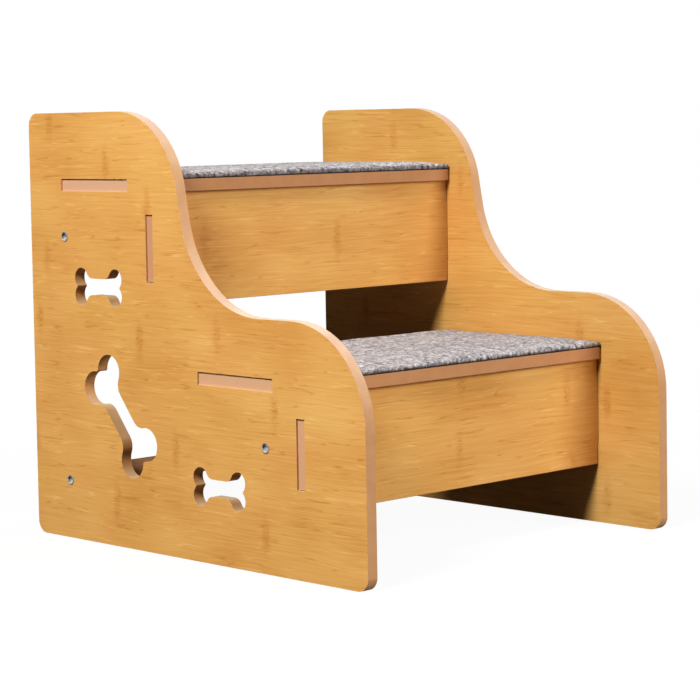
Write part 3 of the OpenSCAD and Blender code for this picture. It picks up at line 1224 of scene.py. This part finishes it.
@dataclass
class Studio:
    """The pale floor, the lamps, the soft surroundings and the camera.

    The side lamp only keeps the right panel's outside readable, which the photo doesn't show.
    """

    floor_size: float = 9.0
    floor_drop: float = 0.2 * MM
    floor_pale: Colour = (0.9, 0.9, 0.9, 1.0)
    floor_bounce: Colour = (0.05, 0.05, 0.05, 1.0)
    floor_glow: Pair = (0.95, 1.0)
    floor_fade: Pair = (0.45, 1.0)
    around: float = 0.006
    # A ray's depth is below this up to its first reflection.
    first_depth: float = 1.5
    lamps: tuple[Softbox, ...] = (
        Softbox("key_lamp", 3.93, (-0.718, -0.192, 0.669), 16),
        Softbox("front_lamp", 2.66, (0.372, -0.834, 0.407), 34),
        Softbox("rear_lamp", 0.12, (-0.03, 0.37, 0.93), 20),
        Softbox("side_lamp", 1.25, (0.988, 0.03, 0.15), 20),
    )
    camera_place: Place = (-1.50768, -1.56319, 0.38406)
    camera_turn: Place = (86.1587, 0.9889, -44.1378)
    focal_px: float = 2307.8
    frame_px: float = 700.0
    sensor: float = 36.0
    shift_y: float = -0.1

    def build(self) -> None:
        """Builds everything round the stairs."""
        self._floor()
        self._surroundings()
        for lamp in self.lamps:
            lamp.build()
        self._camera()
        bpy.context.scene.view_settings.view_transform = "Standard"
        log.info("built the studio with %d lamps", len(self.lamps))

    def _seen_directly(self, tree: Tree) -> Socket:
        """Adds a mask of the rays that see the white surroundings and are not lit by them.

        Args:
            tree: Node tree of the floor or the world.

        Returns:
            One for camera rays and for first glossy and transmission rays, and zero for others.
        """
        path = add_node(tree, "ShaderNodeLightPath")
        kinds = ("Is Camera Ray", "Is Glossy Ray", "Is Transmission Ray")
        total = add_up(tree, 0.0, *((path.outputs[kind], 1.0) for kind in kinds))
        first = add_node(
            tree, "ShaderNodeMath", {"operation": "LESS_THAN", 1: self.first_depth},
            {0: path.outputs["Ray Depth"]},
        )
        return add_node(
            tree, "ShaderNodeMath", {"operation": "MULTIPLY", "use_clamp": True},
            {0: total, 1: first.outputs[0]},
        ).outputs[0]

    def _floor(self) -> None:
        """Builds the floor under the stairs."""
        mesh = bmesh.new()
        bmesh.ops.create_grid(mesh, x_segments=2, y_segments=2, size=self.floor_size / 2)
        data = bpy.data.meshes.new("floor")
        mesh.to_mesh(data)
        mesh.free()
        floor = bpy.data.objects.new("floor", data)
        floor.location.z = -self.floor_drop
        bpy.context.scene.collection.objects.link(floor)
        data.materials.append(self._floor_paint())

    def _floor_paint(self) -> Material:
        """Builds the floor's matt paint, white to the eye and with the stairs' faint shadow.

        Returns:
            The finished material.
        """
        material, tree = new_material("pale_floor")
        seen = self._seen_directly(tree)
        pale = add_node(
            tree, "ShaderNodeMix", {**BLEND, 6: self.floor_bounce, 7: self.floor_pale}, {0: seen}
        )
        matt = add_node(tree, "ShaderNodeBsdfDiffuse", links={0: pale.outputs[2]})
        white = add_node(tree, "ShaderNodeEmission", {"Strength": 1.0})
        place = add_node(tree, "ShaderNodeTexCoord")
        away = add_node(
            tree, "ShaderNodeVectorMath", {"operation": "LENGTH"}, {0: place.outputs["Object"]}
        )
        glow = add_node(
            tree, "ShaderNodeMapRange", fade(*self.floor_fade, *self.floor_glow),
            {0: away.outputs["Value"]},
        )
        share = add_node(
            tree, "ShaderNodeMath", {"operation": "MULTIPLY"}, {0: seen, 1: glow.outputs[0]}
        )
        mixed = add_node(
            tree, "ShaderNodeMixShader",
            links={0: share.outputs[0], 1: matt.outputs[0], 2: white.outputs[0]},
        )
        add_node(tree, "ShaderNodeOutputMaterial", links={0: mixed.outputs[0]})
        return material

    def _surroundings(self) -> None:
        """Sets a world that is white to look at and gives a weak fill from all round."""
        world = bpy.data.worlds.new("white_surroundings")
        world.use_nodes = True
        tree = world.node_tree
        tree.nodes.clear()
        strength = add_node(
            tree, "ShaderNodeMix", {2: self.around, 3: 1.0}, {0: self._seen_directly(tree)}
        )
        white = add_node(
            tree, "ShaderNodeBackground", {"Color": WHITE}, {"Strength": strength.outputs[0]}
        )
        add_node(tree, "ShaderNodeOutputWorld", links={0: white.outputs[0]})
        bpy.context.scene.world = world

    def _camera(self) -> None:
        """Sets the camera up where the photograph was taken from."""
        data = bpy.data.cameras.new("camera")
        data.sensor_width = self.sensor
        data.lens = self.focal_px / self.frame_px * self.sensor
        data.shift_y = self.shift_y
        camera = bpy.data.objects.new("camera", data)
        camera.location = self.camera_place
        camera.rotation_euler = Euler([math.radians(a) for a in self.camera_turn], "XYZ")
        bpy.context.scene.collection.objects.link(camera)
        bpy.context.scene.camera = camera


def main() -> None:
    """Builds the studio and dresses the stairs."""
    logging.basicConfig(level=logging.INFO, format="%(message)s")
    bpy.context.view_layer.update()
    Studio().build()
    group = SmoothEdges().group()
    Carcass().dress(group)
    Fastenings().dress(group)
    rubber = RubberBackingAndShade().material()
    upper_pad = FeltPad(
        "upper_felt_pad", "upper_pad_backing", 11, crown=3 * MM, crown_run=22 * MM
    )
    # The upper pad's painted shade reaches higher up its sides.
    upper_felt = NeedledFelt(
        "needled_grey_felt_upper", ((0.25, "#4d494f"), (0.5, "#b1aaaa"), (0.78, "#f3edec")),
        side_shade_fade=(0.95, 0.57),
    )
    lower_pad = FeltPad("lower_felt_pad", "lower_pad_backing", 23)
    for pad, felt in ((upper_pad, upper_felt), (lower_pad, NeedledFelt())):
        pad.build(felt.material())
        pad.dress_backing(rubber, group)


if __name__ == "__main__":
    main()
